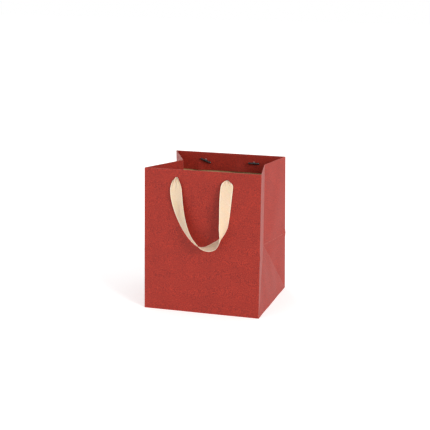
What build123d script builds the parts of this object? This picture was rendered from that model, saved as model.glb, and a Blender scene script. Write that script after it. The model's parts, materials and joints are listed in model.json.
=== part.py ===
"""Paper gift bag with side gussets, a block bottom and two hung ribbon handles.

All sizes are in millimetres. X runs across the bag, Y from the front wall to
the back wall and +Z up. The origin is the middle of the bottom, so the bag
stands on the XY plane.

The paper is one folded sheet. Every panel between two creases is a solid of
its own here, mitred along the creases, so that the sheet's panels stay apart.
"""

import os
from math import sqrt

from build123d import *

# Overall sizes
WIDTH = 200.0
DEPTH = 180.0
HEIGHT = 240.0
WALL_LEAN = 10.0  # how far the front and back walls come in at the mouth
LEFT_PINCH = 40.0  # how far the left centre fold is pressed in at the mouth
RIGHT_PINCH = 16.0  # the same on the right
CREASE_HEIGHT = 102.0  # cross crease of the gussets, above the bottom

# Stock
PAPER = 0.3
BOARD = 1.2

# Turned-in hem and the boards
HEM_DEPTH = 32.0
HEM_BOARD_DEPTH = 29.0
HEM_END_GAP = 3.0  # from the corner creases to the ends of the hem layers
BOTTOM_BOARD_GAP = 1.5  # from the walls to the bottom board, all round
FLAP_GAP = 0.05  # gap between a flap's edge and its neighbour
FLAP_LAP = 24.0  # how far the two bottom flaps overlap
TUCK_GAP = 0.8
SEAM_WIDTH = 14.0
SEAM_CORNER_GAP = 2.0
SEAM_END_GAP = 4.0

# Handles
HOLE_SPACING = 88.0
HOLE_DROP = 15.0  # from the mouth down to the hole centres
HOLE_RADIUS = 2.5
RIBBON_WIDTH = 20.0
RIBBON_THICKNESS = 1.2
RIBBON_GATHER_WIDTH = 4.4
RIBBON_GATHER_LENGTH = 12.0
RIBBON_HANG_TILT = 6.0  # degrees that the hung loop stands off the wall
RIBBON_STANDOFF = 1.5  # from the wall's face to the swing axis
LOOP_SHOULDER_DROP = 74.0  # from the swing axis to where the legs meet the bow
LOOP_SHOULDER_INSET = 4.0

# Barbs that hold the ribbon ends inside
BARB_LENGTH = 21.0
BARB_RADIUS = 1.9
BARB_END_ROUND = 1.5
BARB_CLEARANCE = 0.3
NECK_RADIUS = 1.8
NECK_RECESS = 0.2  # how far the neck ends inside the wall's outer face
BARB_TILTS = {  # degrees from level, seen from outside the wall
    ("front", "left"): 8.0,
    ("front", "right"): -12.0,
    ("back", "left"): 21.0,
    ("back", "right"): 0.0,
}

# Worked out from the sizes above
LEFT, RIGHT = -1, 1
FRONT, BACK = -1, 1
SIDES = {"left": LEFT, "right": RIGHT}
WALLS = {"front": FRONT, "back": BACK}
PINCH = {LEFT: LEFT_PINCH, RIGHT: RIGHT_PINCH}
WALL_SLOPE = WALL_LEAN / HEIGHT
WALL_LENGTH = sqrt(HEIGHT**2 + WALL_LEAN**2)
HOLE_RISE = WALL_LENGTH - HOLE_DROP
HEM_STACK = PAPER + BOARD + PAPER
BARB_DEPTH = HEM_STACK + BARB_CLEARANCE + BARB_RADIUS
OVERSIZE = 1.05  # panels are drawn this much larger, then cut along the creases


def half_depth(height):
    """Distance of the walls' outer faces from the middle, at a height."""
    return DEPTH / 2 - WALL_SLOPE * height


def corner(side, wall, height):
    """A point on one of the four upright corner creases."""
    return Vector(side * WIDTH / 2, wall * half_depth(height), height)


def fold(side, height):
    """A point on a gusset's centre fold, which is pressed in towards the middle."""
    inset = PINCH[side] * half_depth(height) / half_depth(HEIGHT)
    return Vector(side * (WIDTH / 2 - inset), 0, height)


def fold_foot(side):
    """Where the centre fold, the cross crease and the two diagonal creases meet."""
    inset = WIDTH / 2 - abs(fold(side, CREASE_HEIGHT).X)
    return fold(side, sqrt(CREASE_HEIGHT**2 - inset**2))


def base_inset(height):
    """How far the gussets' bottom triangles reach in at a height, paper included."""
    insets = []
    for side in SIDES.values():
        foot = fold_foot(side)
        slope = (WIDTH / 2 - abs(foot.X)) / foot.Z
        insets.append(slope * height + PAPER * sqrt(1 + slope**2))
    return max(insets)


def wall_plane(wall):
    """Plane of a wall's outer face: x across the bag, y up the wall, z outwards."""
    return Plane(
        origin=(0, wall * DEPTH / 2, 0),
        x_dir=(-wall, 0, 0),
        z_dir=(0, wall, WALL_SLOPE),
    )


def panel_outlines():
    """Corner points on the outer face of every panel of the bag's walls."""
    outlines = {}
    for wall_name, wall in WALLS.items():
        outlines[f"{wall_name}_panel"] = [
            corner(LEFT, wall, 0),
            corner(RIGHT, wall, 0),
            corner(RIGHT, wall, CREASE_HEIGHT),
            corner(RIGHT, wall, HEIGHT),
            corner(LEFT, wall, HEIGHT),
            corner(LEFT, wall, CREASE_HEIGHT),
        ]
    for side_name, side in SIDES.items():
        foot = fold_foot(side)
        for wall_name, wall in WALLS.items():
            outlines[f"{side_name}_gusset_{wall_name}"] = [
                corner(side, wall, CREASE_HEIGHT),
                corner(side, wall, HEIGHT),
                fold(side, HEIGHT),
                foot,
            ]
            outlines[f"{side_name}_gusset_corner_{wall_name}"] = [
                corner(side, wall, 0),
                corner(side, wall, CREASE_HEIGHT),
                foot,
            ]
        outlines[f"{side_name}_gusset_base"] = [
            corner(side, FRONT, 0),
            corner(side, BACK, 0),
            foot,
        ]
    return outlines


def middle(points):
    """Average of a panel's corner points."""
    return sum(points, Vector()) * (1 / len(points))


def outward(points):
    """Unit normal of a panel, on the side away from the bag's middle."""
    normal = (points[1] - points[0]).cross(points[-1] - points[0]).normalized()
    from_middle = middle(points) - Vector(0, 0, HEIGHT / 2)
    return normal if normal.dot(from_middle) > 0 else -normal


def edges_of(points):
    """The panel's edges, as pairs of corner points."""
    return list(zip(points, points[1:] + points[:1]))


def same_edge(first, second):
    """Whether two edges join the same two points, in either order."""
    near = 1e-6
    straight = (first[0] - second[0]).length + (first[1] - second[1]).length
    crossed = (first[0] - second[1]).length + (first[1] - second[0]).length
    return min(straight, crossed) < near


def mitre_planes(name, outlines):
    """Planes halfway between a panel and each neighbour, facing away from it."""
    points = outlines[name]
    planes = []
    for edge in edges_of(points):
        for other_name, other in outlines.items():
            if other_name == name:
                continue
            if not any(same_edge(edge, other_edge) for other_edge in edges_of(other)):
                continue
            halfway = (outward(points) + outward(other)).normalized()
            across = (edge[1] - edge[0]).cross(halfway)
            if across.dot(middle(points) - edge[0]) > 0:
                across = -across
            planes.append(Plane(origin=edge[0], z_dir=across))
    return planes


def save(part, name):
    """Names a finished piece and writes it to its own file."""
    part.label = name
    export_step(part, f"parts/{name}.step")


def folded_panels():
    """The panels of the walls and gussets, cut to mitres along the creases."""
    outlines = panel_outlines()
    for name, points in outlines.items():
        plane = Plane(origin=points[0], x_dir=points[1] - points[0], z_dir=outward(points))
        centre = middle(points)
        drawn = [
            plane.to_local_coords(centre + (point - centre) * OVERSIZE) for point in points
        ]
        heights = [point.Z for point in points]
        with BuildPart() as panel:
            with BuildSketch(plane):
                with BuildLine():
                    Polyline([(point.X, point.Y) for point in drawn], close=True)
                make_face()
            extrude(amount=-PAPER)
            if max(heights) == HEIGHT:
                split(bisect_by=Plane.XY.offset(HEIGHT), keep=Keep.BOTTOM)
            if min(heights) == 0:
                split(bisect_by=Plane.XY, keep=Keep.TOP)
            for mitre in mitre_planes(name, outlines):
                split(bisect_by=mitre, keep=Keep.BOTTOM)
            wall_name = name.removesuffix("_panel")
            if wall_name in WALLS:
                with BuildSketch(wall_plane(WALLS[wall_name])):
                    with Locations((0, HOLE_RISE)):
                        with GridLocations(HOLE_SPACING, 0, 2, 1):
                            Circle(HOLE_RADIUS)
                extrude(amount=-2 * PAPER, mode=Mode.SUBTRACT)
        save(panel.part, name)


def wall_hem(wall_name, wall):
    """The board inside one wall's hem, and the paper turned in over that board."""
    plane = wall_plane(wall)
    width = WIDTH - 2 * HEM_END_GAP
    board_top = WALL_LENGTH - PAPER
    with BuildPart() as hem_board:
        with BuildSketch(plane.offset(-PAPER)):
            with Locations((0, board_top)):
                Rectangle(width, HEM_BOARD_DEPTH, align=(Align.CENTER, Align.MAX))
            with Locations((0, HOLE_RISE)):
                with GridLocations(HOLE_SPACING, 0, 2, 1):
                    Circle(HOLE_RADIUS, mode=Mode.SUBTRACT)
        extrude(amount=-BOARD)
    save(hem_board.part, f"{wall_name}_hem_board")

    with BuildPart() as turned_hem:
        with BuildSketch(plane.offset(-PAPER - BOARD)):
            with Locations((0, WALL_LENGTH)):
                Rectangle(width, HEM_DEPTH, align=(Align.CENTER, Align.MAX))
            with Locations((0, HOLE_RISE)):
                with GridLocations(HOLE_SPACING, 0, 2, 1):
                    Circle(HOLE_RADIUS, mode=Mode.SUBTRACT)
        extrude(amount=-PAPER)
        with BuildSketch(plane.offset(-PAPER)):
            with Locations((0, WALL_LENGTH)):
                Rectangle(width, PAPER, align=(Align.CENTER, Align.MAX))
        extrude(amount=-BOARD)
    save(turned_hem.part, f"{wall_name}_turned_hem")


def gusset_hem(side_name, side, wall_name, wall):
    """The paper turned in along the mouth of one half of a gusset."""
    outline = []
    for height, at_fold in (
        (HEIGHT, False),
        (HEIGHT, True),
        (HEIGHT - HEM_DEPTH, True),
        (HEIGHT - HEM_DEPTH, False),
    ):
        start = corner(side, wall, height)
        along = fold(side, height) - start
        distance = along.length * OVERSIZE if at_fold else HEM_END_GAP
        outline.append(start + along.normalized() * distance)
    face = Plane(origin=outline[0], x_dir=outline[1] - outline[0], z_dir=outward(outline))
    drawn = [face.to_local_coords(point) for point in outline]
    with BuildPart() as hem:
        with BuildSketch(face.offset(-PAPER)):
            with BuildLine():
                Polyline([(point.X, point.Y) for point in drawn], close=True)
            make_face()
        extrude(amount=-PAPER)
        split(bisect_by=Plane.XZ, keep=Keep.TOP if wall == FRONT else Keep.BOTTOM)
    save(hem.part, f"{side_name}_turned_hem_{wall_name}")


def side_seam():
    """The glue flap that closes the tube, inside the back wall's left edge."""
    with BuildPart() as seam:
        with BuildSketch(wall_plane(BACK).offset(-PAPER)):
            with Locations((WIDTH / 2 - SEAM_CORNER_GAP, SEAM_END_GAP)):
                Rectangle(
                    SEAM_WIDTH,
                    WALL_LENGTH - HEM_DEPTH - 2 * SEAM_END_GAP,
                    align=(Align.MAX, Align.MIN),
                )
        extrude(amount=-PAPER)
    save(seam.part, "side_seam_flap")


def bottom_flaps():
    """The two flaps that lap under the bag and the two corner tucks over them."""
    half_width = WIDTH / 2 - base_inset(2 * PAPER) - FLAP_GAP
    wall_side = DEPTH / 2 - PAPER - FLAP_GAP
    lap = FLAP_LAP / 2
    with BuildPart() as front_flap:
        with BuildSketch(Plane.YZ):
            with BuildLine():
                Polyline([(-wall_side, 0), (lap, 0), (lap, PAPER), (-wall_side, PAPER)], close=True)
            make_face()
        extrude(amount=half_width, both=True)
    save(front_flap.part, "bottom_flap_front")

    step = lap + FLAP_GAP
    profile = [
        (-lap, PAPER),
        (step, PAPER),
        (step, 0),
        (wall_side, 0),
        (wall_side, PAPER),
        (step + PAPER, PAPER),
        (step + PAPER, 2 * PAPER),
        (-lap, 2 * PAPER),
    ]
    with BuildPart() as back_flap:
        with BuildSketch(Plane.YZ):
            with BuildLine():
                Polyline(profile, close=True)
            make_face()
        extrude(amount=half_width, both=True)
    save(back_flap.part, "bottom_flap_back")

    for side_name, side in SIDES.items():
        edge_x = side * (WIDTH / 2 - base_inset(3 * PAPER) - TUCK_GAP)
        edge_y = DEPTH / 2 - 2 * TUCK_GAP
        point_x = edge_x - side * edge_y
        with BuildPart() as tuck:
            with BuildSketch(Plane.XY.offset(2 * PAPER)):
                with BuildLine():
                    Polyline([(edge_x, -edge_y), (edge_x, edge_y), (point_x, 0)], close=True)
                make_face()
            extrude(amount=PAPER)
        save(tuck.part, f"bottom_tuck_{side_name}")


def bottom_board():
    """The loose board that stiffens the bottom."""
    with BuildPart() as board:
        with BuildSketch(Plane.XY.offset(3 * PAPER)):
            Rectangle(
                WIDTH - 2 * (base_inset(3 * PAPER + BOARD) + BOTTOM_BOARD_GAP),
                DEPTH - 2 * BOTTOM_BOARD_GAP,
            )
        extrude(amount=BOARD)
    save(board.part, "bottom_board")


def ribbon_handle(wall_name, wall):
    """A handle loop hung by both ends from its swing axis through the two holes."""
    face = wall_plane(wall)
    axis_point = face.from_local_coords(Vector(0, HOLE_RISE, RIBBON_STANDOFF))
    swing_axis = Axis(axis_point, face.x_dir)
    hung = Plane(
        origin=axis_point,
        x_dir=face.x_dir,
        z_dir=face.z_dir.rotate(swing_axis, -RIBBON_HANG_TILT),
    )
    hole_x = HOLE_SPACING / 2
    shoulder_x = hole_x - LOOP_SHOULDER_INSET
    gather = (hole_x, -RIBBON_GATHER_LENGTH)
    with BuildPart() as ribbon:
        with BuildSketch(hung.offset(-RIBBON_THICKNESS / 2)):
            with BuildLine() as middle_line:
                leg = Line((-hole_x, gather[1]), (-shoulder_x, -LOOP_SHOULDER_DROP))
                TangentArc(leg @ 1, (shoulder_x, -LOOP_SHOULDER_DROP), tangent=leg % 1)
                Line((shoulder_x, -LOOP_SHOULDER_DROP), gather)
            trace(line_width=RIBBON_WIDTH)
            with BuildLine():
                Polyline(
                    [
                        (hole_x - RIBBON_WIDTH / 2, gather[1]),
                        (hole_x + RIBBON_WIDTH / 2, gather[1]),
                        (hole_x + RIBBON_GATHER_WIDTH / 2, RIBBON_THICKNESS / 2),
                        (hole_x - RIBBON_GATHER_WIDTH / 2, RIBBON_THICKNESS / 2),
                    ],
                    close=True,
                )
            make_face()
            mirror(about=Plane.YZ)
        extrude(amount=RIBBON_THICKNESS)
    save(ribbon.part, f"{wall_name}_ribbon")
    length = sum(edge.length for edge in middle_line.edges()) + 2 * RIBBON_GATHER_LENGTH
    print(f"{wall_name} ribbon, from hole to hole: {length:.1f} mm")


def barbs(wall_name, wall):
    """The two moulded T-bars behind a wall, each with its neck through a hole."""
    face = wall_plane(wall)
    for side_name, side in SIDES.items():
        hole_x = -wall * side * HOLE_SPACING / 2
        centre = face.from_local_coords(Vector(hole_x, HOLE_RISE, -BARB_DEPTH))
        tilt = BARB_TILTS[wall_name, side_name]
        along = face.x_dir.rotate(Axis(centre, face.z_dir), tilt)
        seat = Plane(origin=centre, x_dir=along, z_dir=face.z_dir)
        with BuildPart(seat) as barb:
            Cylinder(BARB_RADIUS, BARB_LENGTH, rotation=(0, 90, 0))
            fillet(barb.edges().filter_by(GeomType.CIRCLE), BARB_END_ROUND)
            with BuildSketch(seat):
                Circle(NECK_RADIUS)
            extrude(amount=BARB_DEPTH - NECK_RECESS)
        save(barb.part, f"{wall_name}_{side_name}_barb")


os.makedirs("parts", exist_ok=True)
folded_panels()
for wall_label, wall_side in WALLS.items():
    wall_hem(wall_label, wall_side)
    ribbon_handle(wall_label, wall_side)
    barbs(wall_label, wall_side)
    for side_label, bag_side in SIDES.items():
        gusset_hem(side_label, bag_side, wall_label, wall_side)
side_seam()
bottom_flaps()
bottom_board()
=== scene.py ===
"""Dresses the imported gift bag: folded kraft paper, woven ribbons and moulded barbs.

Everything is in metres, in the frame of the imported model. X runs across the
bag, Y from the front wall to the back wall and +Z up.
"""

import json
import logging
import math
from dataclasses import dataclass, field
from enum import Enum
from typing import Callable, Sequence

import bmesh
import bpy
from mathutils import Matrix, Vector


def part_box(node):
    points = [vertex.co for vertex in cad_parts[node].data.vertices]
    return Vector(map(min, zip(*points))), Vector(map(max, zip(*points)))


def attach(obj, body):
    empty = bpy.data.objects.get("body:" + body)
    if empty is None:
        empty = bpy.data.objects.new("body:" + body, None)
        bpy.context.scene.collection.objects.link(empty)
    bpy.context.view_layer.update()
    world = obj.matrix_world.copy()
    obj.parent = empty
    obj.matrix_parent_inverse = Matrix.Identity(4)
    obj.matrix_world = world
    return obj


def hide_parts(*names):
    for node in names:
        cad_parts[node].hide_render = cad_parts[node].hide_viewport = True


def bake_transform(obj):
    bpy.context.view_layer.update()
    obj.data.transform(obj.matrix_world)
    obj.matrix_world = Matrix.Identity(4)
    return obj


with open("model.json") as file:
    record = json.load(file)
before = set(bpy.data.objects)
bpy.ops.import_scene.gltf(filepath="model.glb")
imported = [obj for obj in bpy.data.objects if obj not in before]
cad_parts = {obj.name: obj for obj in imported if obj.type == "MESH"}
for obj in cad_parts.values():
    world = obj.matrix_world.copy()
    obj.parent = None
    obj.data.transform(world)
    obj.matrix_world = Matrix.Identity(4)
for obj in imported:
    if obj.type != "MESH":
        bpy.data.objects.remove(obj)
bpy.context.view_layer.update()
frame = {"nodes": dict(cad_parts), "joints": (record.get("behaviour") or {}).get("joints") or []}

LOG = logging.getLogger("gift_bag")
MM = 0.001


class Wall(Enum):
    """The two broad walls, by the sign of their Y."""

    FRONT = -1
    BACK = 1


class Side(Enum):
    """The two gusseted sides, by the sign of their X."""

    LEFT = -1
    RIGHT = 1


class Stretch(Enum):
    """The stretches of the sheet between upright creases, in the order they are folded."""

    BACK_WALL = "back wall"
    RIGHT_REAR = "right gusset, rear half"
    RIGHT_FORE = "right gusset, fore half"
    FRONT_WALL = "front wall"
    LEFT_FORE = "left gusset, fore half"
    LEFT_REAR = "left gusset, rear half"
    SEAM = "glue flap inside the back wall"

    def along(self, share: float) -> float:
        """A share of a gusset's half, counted from its corner crease."""
        return share if self in (Stretch.RIGHT_REAR, Stretch.LEFT_FORE) else 1 - share


WALL_OF = {Stretch.FRONT_WALL: Wall.FRONT, Stretch.BACK_WALL: Wall.BACK}
HALF_OF = {
    Stretch.RIGHT_REAR: (Side.RIGHT, Wall.BACK),
    Stretch.RIGHT_FORE: (Side.RIGHT, Wall.FRONT),
    Stretch.LEFT_FORE: (Side.LEFT, Wall.FRONT),
    Stretch.LEFT_REAR: (Side.LEFT, Wall.BACK),
}


@dataclass(frozen=True)
class BagShape:
    """The folded bag's sizes, and the points that its creases pass through."""

    width: float
    depth: float
    height: float
    lean: float
    crease_height: float
    paper: float
    board: float
    hem_depth: float
    left_pinch: float = 40 * MM
    right_pinch: float = 16 * MM
    hole_radius: float = 2.5 * MM

    @classmethod
    def from_frame(cls) -> "BagShape":
        """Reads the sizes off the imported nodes' boxes.

        Returns:
            The shape that every new piece is built on.
        """
        low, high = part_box("front_panel")
        flap_low, flap_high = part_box("bottom_flap_front")
        board_low, board_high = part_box("bottom_board")
        paper = flap_high[2] - flap_low[2]
        return cls(
            width=high[0] - low[0],
            depth=-2 * low[1],
            height=high[2],
            lean=high[1] - low[1] - paper,
            crease_height=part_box("left_gusset_corner_front")[1][2],
            paper=paper,
            board=board_high[2] - board_low[2],
            hem_depth=high[2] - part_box("front_turned_hem")[0][2],
        )

    @property
    def slope(self) -> float:
        """How far a wall leans in for each metre of height."""
        return self.lean / self.height

    def half_depth(self, height: float) -> float:
        """Distance of a wall's outer face from the middle at a height."""
        return self.depth / 2 - self.slope * height

    def inset(self, side: Side, height: float) -> float:
        """How far a gusset's centre fold is pressed in at a height."""
        pinch = self.left_pinch if side is Side.LEFT else self.right_pinch
        return pinch * self.half_depth(height) / self.half_depth(self.height)

    def foot_height(self, side: Side) -> float:
        """Height where a centre fold meets the cross crease and the diagonals."""
        return math.sqrt(self.crease_height**2 - self.inset(side, self.crease_height) ** 2)

    def corner(self, side: Side, wall: Wall, height: float) -> Vector:
        """A point on an upright corner crease."""
        return Vector((side.value * self.width / 2, wall.value * self.half_depth(height), height))

    def fold(self, side: Side, height: float) -> Vector:
        """A point on a gusset's centre fold."""
        return Vector((side.value * (self.width / 2 - self.inset(side, height)), 0, height))

    def wall_matrix(self, wall: Wall) -> Matrix:
        """Frame of a wall's outer face: x across the bag, y up the wall, z outwards.

        Args:
            wall: The wall that the frame lies on.

        Returns:
            The frame as a 4 by 4 matrix, with its origin at the foot of the wall.
        """
        across = Vector((-wall.value, 0, 0))
        out = Vector((0, wall.value, self.slope)).normalized()
        up = out.cross(across)
        origin = Vector((0, wall.value * self.depth / 2, 0))
        matrix = Matrix((across, up, out)).transposed().to_4x4()
        matrix.translation = origin
        return matrix

    def hole(self, wall: Wall, side: Side) -> Vector:
        """A handle hole's centre on its wall's outer face, in the wall's own frame."""
        swivel = joint(f"{wall.name.lower()}_{side.name.lower()}_barb_swivel")
        return self.wall_matrix(wall).inverted() @ Vector(swivel["pos_m"])


def joint(name: str) -> dict:
    """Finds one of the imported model's joints by its name."""
    return next(entry for entry in frame["joints"] if entry["name"] == name)


def deselect_all() -> None:
    """Leaves object mode with nothing selected."""
    if bpy.context.object and bpy.context.object.mode != "OBJECT":
        bpy.ops.object.mode_set(mode="OBJECT")
    bpy.ops.object.select_all(action="DESELECT")


def make_active(piece: bpy.types.Object) -> None:
    """Selects one piece alone and makes it the active one.

    Args:
        piece: The piece.
    """
    deselect_all()
    piece.select_set(True)
    bpy.context.view_layer.objects.active = piece


def apply_modifier(piece: bpy.types.Object, kind: str, **settings: object) -> None:
    """Adds a modifier to a piece, sets it and applies it.

    Args:
        piece: The mesh object that it changes.
        kind: The modifier's type, such as "SOLIDIFY".
        **settings: The modifier's own properties and their values.
    """
    make_active(piece)
    modifier = piece.modifiers.new(kind.lower(), kind)
    for name, value in settings.items():
        setattr(modifier, name, value)
    bpy.ops.object.modifier_apply(modifier=modifier.name)


def place_in_mesh(piece: bpy.types.Object, matrix: Matrix) -> None:
    """Moves a piece by a matrix, in its mesh, and leaves its object at the origin.

    Args:
        piece: The mesh object.
        matrix: The move. A mirroring one turns the faces back outwards.
    """
    piece.data.transform(matrix)
    if matrix.is_negative:
        piece.data.flip_normals()
    piece.matrix_world = Matrix.Identity(4)


def shade(piece: bpy.types.Object, angle: float) -> None:
    """Shades a piece smooth, except across edges sharper than an angle in degrees."""
    make_active(piece)
    bpy.ops.object.shade_smooth_by_angle(angle=math.radians(angle))


def flat_grid(name: str, columns: int, rows: int) -> bpy.types.Object:
    """Lays a flat one-metre grid, ready to be folded or hung.

    Args:
        name: The new object's name.
        columns: Number of cells along X.
        rows: Number of cells along Y.

    Returns:
        The grid object, with its corner at the origin.
    """
    deselect_all()
    bpy.ops.mesh.primitive_grid_add(
        x_subdivisions=columns, y_subdivisions=rows, size=1, location=(0, 0, 0)
    )
    grid = bpy.context.object
    grid.name = name
    grid.data.name = name
    grid.data.transform(Matrix.Translation((0.5, 0.5, 0)))
    return grid


def eased(count: int, ease: float = 0.8) -> list[float]:
    """Fractions from 0 to 1 that crowd towards both ends.

    Args:
        count: Number of steps.
        ease: Share of the crowding, from 0 for even steps.

    Returns:
        The count + 1 fractions.
    """
    steps = [index / count for index in range(count + 1)]
    return [
        (1 - ease) * step + ease * (1 - math.cos(math.pi * step)) / 2 for step in steps
    ]


def smooth_step(value: float) -> float:
    """Rises smoothly from 0 to 1 as the value does, and stays there."""
    value = min(max(value, 0.0), 1.0)
    return value * value * (3 - 2 * value)


def fade(distance: float, reach: float) -> float:
    """Falls smoothly from 1 at no distance to nearly 0 at twice the reach."""
    return math.exp(-((distance / reach) ** 2))


Colour = tuple[float, float, float]


def linear(*channels: int) -> Colour:
    """A colour given in ordinary 8-bit values, as the shader's linear values.

    Args:
        *channels: Red, green and blue, from 0 to 255.

    Returns:
        The linear red, green and blue, from 0 to 1.
    """
    shares = [channel / 255 for channel in channels]
    # The usual transfer curve of a screen: a short straight foot, then a power.
    return tuple(s / 12.92 if s <= 0.04045 else ((s + 0.055) / 1.055) ** 2.4 for s in shares)


@dataclass
class Shader:
    """A node tree with short calls that add and join its nodes."""

    tree: bpy.types.NodeTree

    def feed(self, socket: bpy.types.NodeSocket, value: object) -> None:
        """Links a socket to the output that feeds it, or sets it to a value.

        Args:
            socket: The input socket.
            value: An output socket, a number, a vector, or a colour of three numbers.
        """
        if isinstance(value, bpy.types.NodeSocket):
            self.tree.links.new(value, socket)
        elif socket.type == "RGBA":
            socket.default_value = (*value, 1.0)
        else:
            socket.default_value = value

    def node(self, kind: str, **inputs: object) -> bpy.types.Node:
        """Adds a node.

        Args:
            kind: The node's type name, such as "ShaderNodeTexNoise".
            **inputs: Socket names, with underscores for spaces, and each one's value
                or the output socket that feeds it. A name that isn't a socket sets
                the node's own property.

        Returns:
            The new node.
        """
        node = self.tree.nodes.new(kind)
        own = [
            name for name, value in inputs.items()
            if hasattr(node, name) and not isinstance(value, bpy.types.NodeSocket)
        ]
        for name in own:
            setattr(node, name, inputs[name])
        for name, value in inputs.items():
            if name not in own:
                self.feed(node.inputs[name.replace("_", " ")], value)
        return node

    def math(self, operation: str, first: object, second: object = 0.0) -> bpy.types.NodeSocket:
        """Adds a Math node.

        Args:
            operation: The node's operation, such as "ADD".
            first: Its first value or the socket that feeds it.
            second: The same for the second.

        Returns:
            The node's output.
        """
        node = self.node("ShaderNodeMath", operation=operation)
        self.feed(node.inputs[0], first)
        self.feed(node.inputs[1], second)
        return node.outputs[0]

    def times(self, first: object, second: object) -> bpy.types.NodeSocket:
        """Multiplies two values or sockets."""
        return self.math("MULTIPLY", first, second)

    def plus(self, first: object, second: object) -> bpy.types.NodeSocket:
        """Adds two values or sockets."""
        return self.math("ADD", first, second)

    def mix(self, share: object, first: object, second: object) -> bpy.types.NodeSocket:
        """Adds a colour mix.

        Args:
            share: How much of the second colour shows, or the socket that says so.
            first: The first colour or socket.
            second: The second colour or socket.

        Returns:
            The mixed colour's socket.
        """
        node = self.node("ShaderNodeMix", data_type="RGBA", Factor=share)
        self.feed(node.inputs[6], first)
        self.feed(node.inputs[7], second)
        return node.outputs[2]

    def noise(self, vector: object, scale: object, **inputs: object) -> bpy.types.NodeSocket:
        """Adds a noise texture at a number of cells per metre, and returns its value."""
        return self.node("ShaderNodeTexNoise", Vector=vector, Scale=scale, **inputs).outputs[0]

    def ramp(self, value: object, low: float, high: float) -> bpy.types.NodeSocket:
        """Spreads the values from low to high smoothly over 0 to 1."""
        limits = {"Value": value, "From_Min": low, "From_Max": high}
        return self.node("ShaderNodeMapRange", interpolation_type="SMOOTHSTEP", **limits).outputs[0]


def effect_group(
    name: str,
    inputs: dict[str, tuple[str, float]],
    outputs: Sequence[str],
    fill: Callable[[Shader, bpy.types.Node], dict[str, bpy.types.NodeSocket]],
) -> bpy.types.NodeTree:
    """Builds a shared effect as a node group, once.

    Args:
        name: The group's name.
        inputs: Each input's name, with its socket type and its usual value.
        outputs: The names of the outputs, which are all values.
        fill: Adds the group's nodes and returns the socket for each output.

    Returns:
        The node group.
    """
    if name in bpy.data.node_groups:
        return bpy.data.node_groups[name]
    group = bpy.data.node_groups.new(name, "ShaderNodeTree")
    for label, (kind, value) in inputs.items():
        socket = group.interface.new_socket(label, in_out="INPUT", socket_type=kind)
        if kind == "NodeSocketFloat":
            socket.default_value = value
    for label in outputs:
        group.interface.new_socket(label, in_out="OUTPUT", socket_type="NodeSocketFloat")
    shader = Shader(group)
    start = group.nodes.new("NodeGroupInput")
    end = group.nodes.new("NodeGroupOutput")
    for label, socket in fill(shader, start).items():
        group.links.new(socket, end.inputs[label])
    return group


def paper_fibre() -> bpy.types.NodeTree:
    """Kraft paper's surface: fine mottle, pale flecks, fibres and slow clouds of shade.

    Returns:
        A group with the outputs Mottle, Fleck, Fibre, Cloud and Height.
    """
    # Cells per metre at a scale of 1.
    mottle_cells, fibre_cells, fleck_cells, cloud_cells = 930.0, 1400.0, 900.0, 34.0
    upright_stretch = 0.35

    def fill(shader: Shader, start: bpy.types.Node) -> dict[str, bpy.types.NodeSocket]:
        """Adds the paper's noises.

        Args:
            shader: The group's own shader helper.
            start: The group's input node.

        Returns:
            The socket for each output.
        """
        place = start.outputs["Vector"]
        scale = start.outputs["Scale"]
        mottle = shader.noise(place, shader.times(scale, mottle_cells), Detail=7.0, Roughness=0.72)
        stretched = shader.node("ShaderNodeMapping", Vector=place, Scale=(1.0, 1.0, upright_stretch))
        fibre = shader.noise(
            stretched.outputs[0],
            shader.times(scale, fibre_cells),
            Detail=4.0,
            Roughness=0.6,
            Distortion=0.6,
        )
        clouds = shader.noise(place, cloud_cells, Detail=3.0)
        flecks = shader.noise(place, shader.times(scale, fleck_cells), Detail=1.0)
        return {
            "Mottle": shader.ramp(mottle, 0.38, 0.62),
            "Fleck": shader.ramp(flecks, 0.66, 0.74),
            "Fibre": fibre,
            "Cloud": shader.ramp(clouds, 0.3, 0.7),
            "Height": shader.plus(shader.times(mottle, 0.6), shader.times(fibre, 0.4)),
        }

    return effect_group(
        "paper_fibre",
        {"Vector": ("NodeSocketVector", 0.0), "Scale": ("NodeSocketFloat", 1.0)},
        ("Mottle", "Fleck", "Fibre", "Cloud", "Height"),
        fill,
    )


def crease_wear() -> bpy.types.NodeTree:
    """Broken pale wear along creases and edges.

    Returns:
        A group with the output Wear, from the inputs Near, which is 1 on a crease,
        and Amount.
    """
    patch_cells, steepness, least = 260.0, 4.0, 0.35

    def fill(shader: Shader, start: bpy.types.Node) -> dict[str, bpy.types.NodeSocket]:
        """Adds the patches of wear.

        Args:
            shader: The group's own shader helper.
            start: The group's input node.

        Returns:
            The socket for each output.
        """
        broken = shader.ramp(shader.noise(start.outputs["Vector"], patch_cells, Detail=4.0), 0.35, 0.65)
        near = shader.math("POWER", start.outputs["Near"], steepness)
        worn = shader.times(near, shader.plus(broken, least))
        return {"Wear": shader.times(worn, start.outputs["Amount"])}

    return effect_group(
        "crease_wear",
        {
            "Vector": ("NodeSocketVector", 0.0),
            "Near": ("NodeSocketFloat", 0.0),
            "Amount": ("NodeSocketFloat", 0.3),
        },
        ("Wear",),
        fill,
    )


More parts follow.
